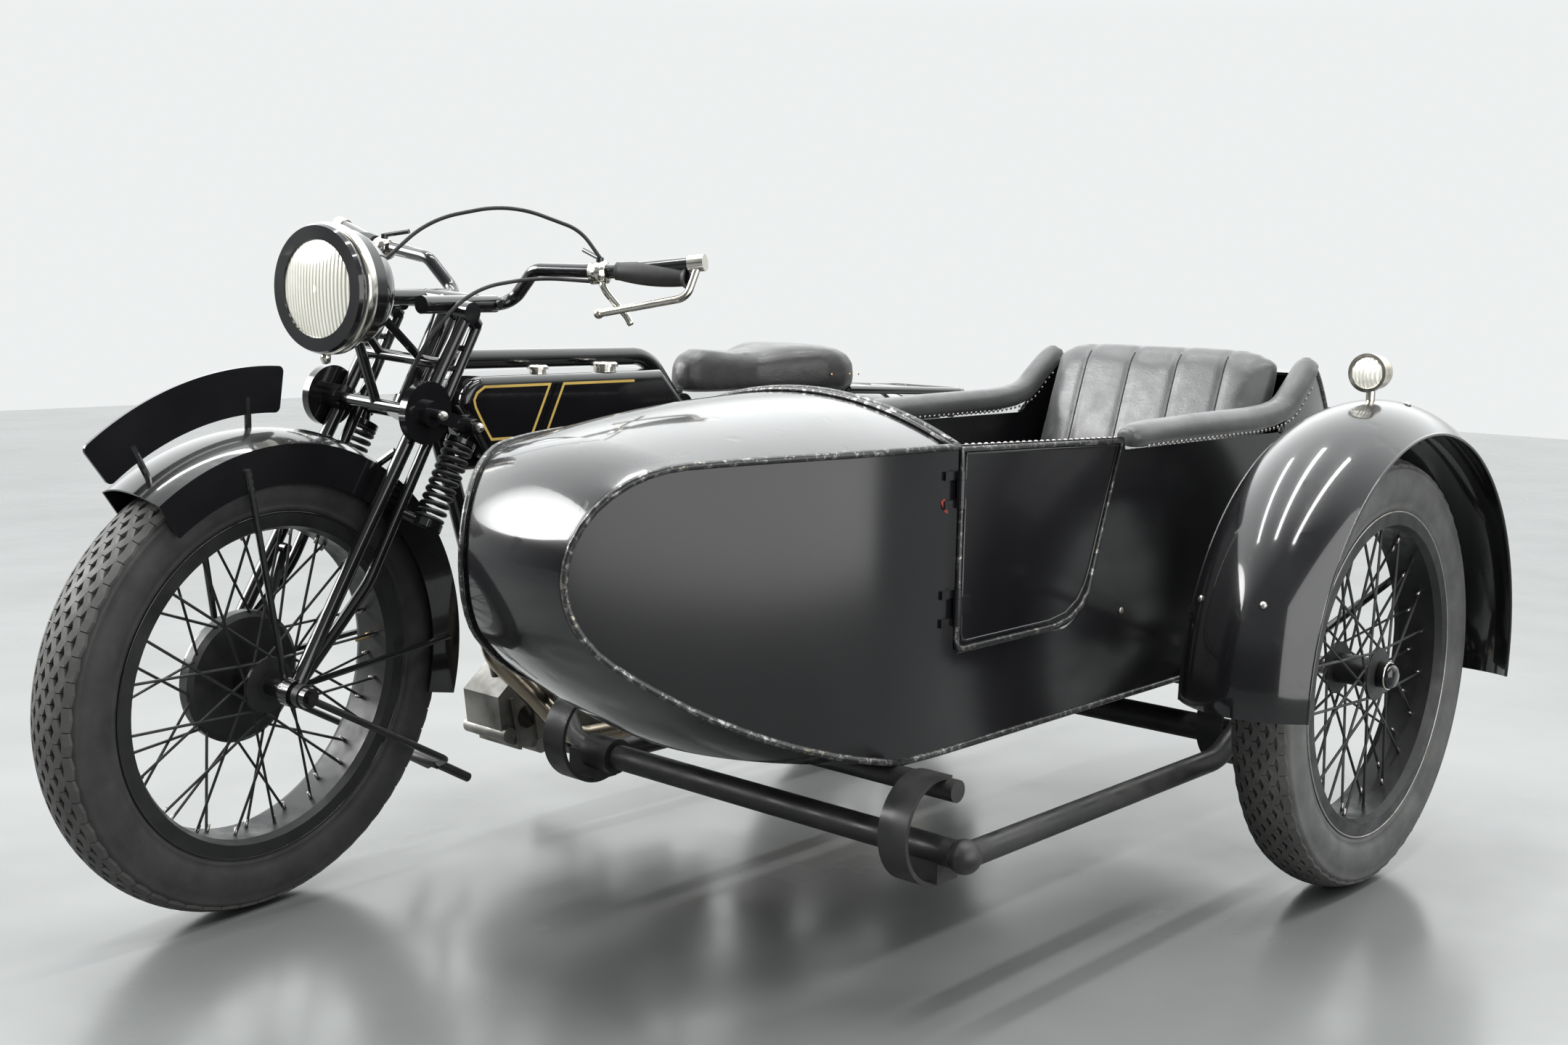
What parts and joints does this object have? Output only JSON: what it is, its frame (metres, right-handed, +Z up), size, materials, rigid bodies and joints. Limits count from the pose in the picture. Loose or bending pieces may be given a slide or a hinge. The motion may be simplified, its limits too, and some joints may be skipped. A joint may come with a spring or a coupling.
{
  "type": "sidecar motorcycle",
  "caption": "Vintage black motorcycle with a girder fork, wire wheels, flat tank and a bullet-nosed sidecar with a side door and padded seat.",
  "frame": {"origin": "on the ground under the rear axle, in the motorcycle's middle plane", "axes": "+X forward, +Y left towards the sidecar, +Z up"},
  "size_m": [2.1916, 1.6485, 1.0481],
  "materials": {
    "black_enamel": "gloss black enamel, small chips and dust",
    "tank_enamel": "gloss black enamel with gold lines",
    "worn_black": "worn satin black with rust on edges",
    "spring_steel": "satin black",
    "black_wheel": "satin black with worn steel spokes",
    "tyre": "matt black rubber, dusty",
    "nickel": "dulled nickel plate",
    "bar_black": "gloss black",
    "grip_rubber": "ribbed matt rubber",
    "lens_glass": "fluted cream glass",
    "cast_alloy": "dull oily casting",
    "cylinder_iron": "matt black iron",
    "exhaust_nickel": "heat-browned nickel",
    "saddle_leather": "worn black leather",
    "seat_leather": "padded black leather with pleats"
  },
  "bodies": {
    "outfit": {"armrest_left": "seat_leather", "armrest_right": "seat_leather", "body_deck": "black_enamel", "body_floor": "worn_black", "body_side_left": "black_enamel", "body_side_right": "black_enamel", "body_tail": "black_enamel", "c_springs_front": "worn_black", "c_springs_rear": "worn_black", "carburettor": "cast_alloy", "chassis": "worn_black", "crankcase": "cast_alloy", "cylinder": "cylinder_iron", "exhaust": "exhaust_nickel", "footrests": "worn_black", "frame": "black_enamel", "gearbox": "cast_alloy", "magneto": "cast_alloy", "primary_case": "cast_alloy", "rear_axle": "nickel", "rear_carrier": "black_enamel", "rear_mudguard": "black_enamel", "saddle": "saddle_leather", "saddle_springs": "spring_steel", "seat_back": "seat_leather", "seat_cushion": "seat_leather", "side_axle": "nickel", "side_lamp": "nickel", "side_lamp_lens": "lens_glass", "side_mudguard": "black_enamel", "tank": "tank_enamel", "tank_caps": "nickel"},
    "steering": {"fork_girder": "black_enamel", "fork_yokes": "black_enamel", "damper_link_left": "black_enamel", "damper_link_right": "black_enamel", "fork_spring_left": "spring_steel", "fork_spring_right": "spring_steel", "handlebar": "bar_black", "grip_left": "grip_rubber", "grip_right": "grip_rubber", "lever_left": "nickel", "lever_right": "nickel", "headlamp_shell": "black_enamel", "headlamp_ring": "nickel", "headlamp_lens": "lens_glass", "front_mudguard": "black_enamel", "number_plate": "black_enamel", "front_axle": "nickel", "control_cables": "grip_rubber"},
    "front_wheel": {"tyre_front": "tyre", "wheel_front": "black_wheel"},
    "rear_wheel": {"tyre_rear": "tyre", "wheel_rear": "black_wheel"},
    "sidecar_wheel": {"tyre_side": "tyre", "wheel_side": "black_wheel"},
    "door": {"door": "black_enamel"},
    "front_stand": {"front_stand": "worn_black"}
  },
  "joints": [
    {"name": "steering", "type": "hinge", "parent": "outfit", "child": "steering", "pos_m": [1.05533, 0, 0.88387], "axis": [-0.4695, 0, 0.8829], "range_deg": [-39, 21]},
    {"name": "front_wheel", "type": "hinge", "parent": "steering", "child": "front_wheel", "pos_m": [1.41925, 0.01079, 0.3446], "axis": [-0.1381, 0.9877, -0.0734], "continuous": true},
    {"name": "rear_wheel", "type": "hinge", "parent": "outfit", "child": "rear_wheel", "pos_m": [0, 0, 0.345], "axis": [0, 1, 0], "continuous": true},
    {"name": "sidecar_wheel", "type": "hinge", "parent": "outfit", "child": "sidecar_wheel", "pos_m": [0.134, 1.135, 0.345], "axis": [0, 1, 0], "continuous": true},
    {"name": "door", "type": "hinge", "parent": "outfit", "child": "door", "pos_m": [0.8995, 0.9065, 0.58], "axis": [0, 0, -1], "range_deg": [0, 75]},
    {"name": "front_stand", "type": "hinge", "parent": "steering", "child": "front_stand", "pos_m": [1.41925, 0.01079, 0.3446], "axis": [0.1381, -0.9877, 0.0734], "range_deg": [0, 66]}
  ]
}
